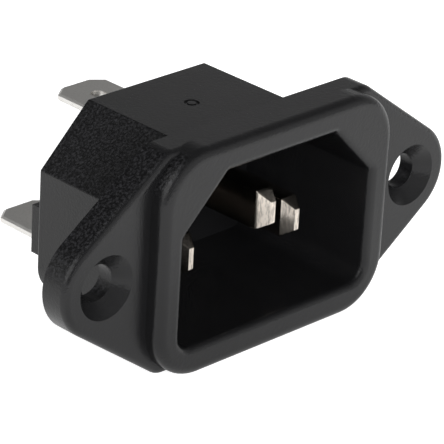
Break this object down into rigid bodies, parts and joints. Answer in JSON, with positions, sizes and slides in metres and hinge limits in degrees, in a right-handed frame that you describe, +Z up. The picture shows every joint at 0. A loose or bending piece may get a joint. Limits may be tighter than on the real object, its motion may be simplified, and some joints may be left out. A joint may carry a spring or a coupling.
{
  "type": "c14 panel inlet socket",
  "caption": "Screw-mounted C14 mains inlet: an eared flange with countersunk holes, a raised collar, a keyed socket with flat pins, and quick-connect tabs behind.",
  "frame": {"origin": "midway between the two fixing holes, on the flange face that seats against the panel", "axes": "+X to the right seen from the front, along the line of the fixing holes; +Y into the panel, towards the tabs; +Z up, towards the earth pin"},
  "size_m": [0.05, 0.0288, 0.0228],
  "materials": {
    "housing_plastic": "fine-grained black thermoplastic moulding",
    "contact_metal": "nickel-plated brass, satin, lightly scuffed"
  },
  "bodies": {
    "root": {"housing": "housing_plastic", "line_contact": "contact_metal", "neutral_contact": "contact_metal", "earth_contact": "contact_metal"}
  },
  "joints": []
}
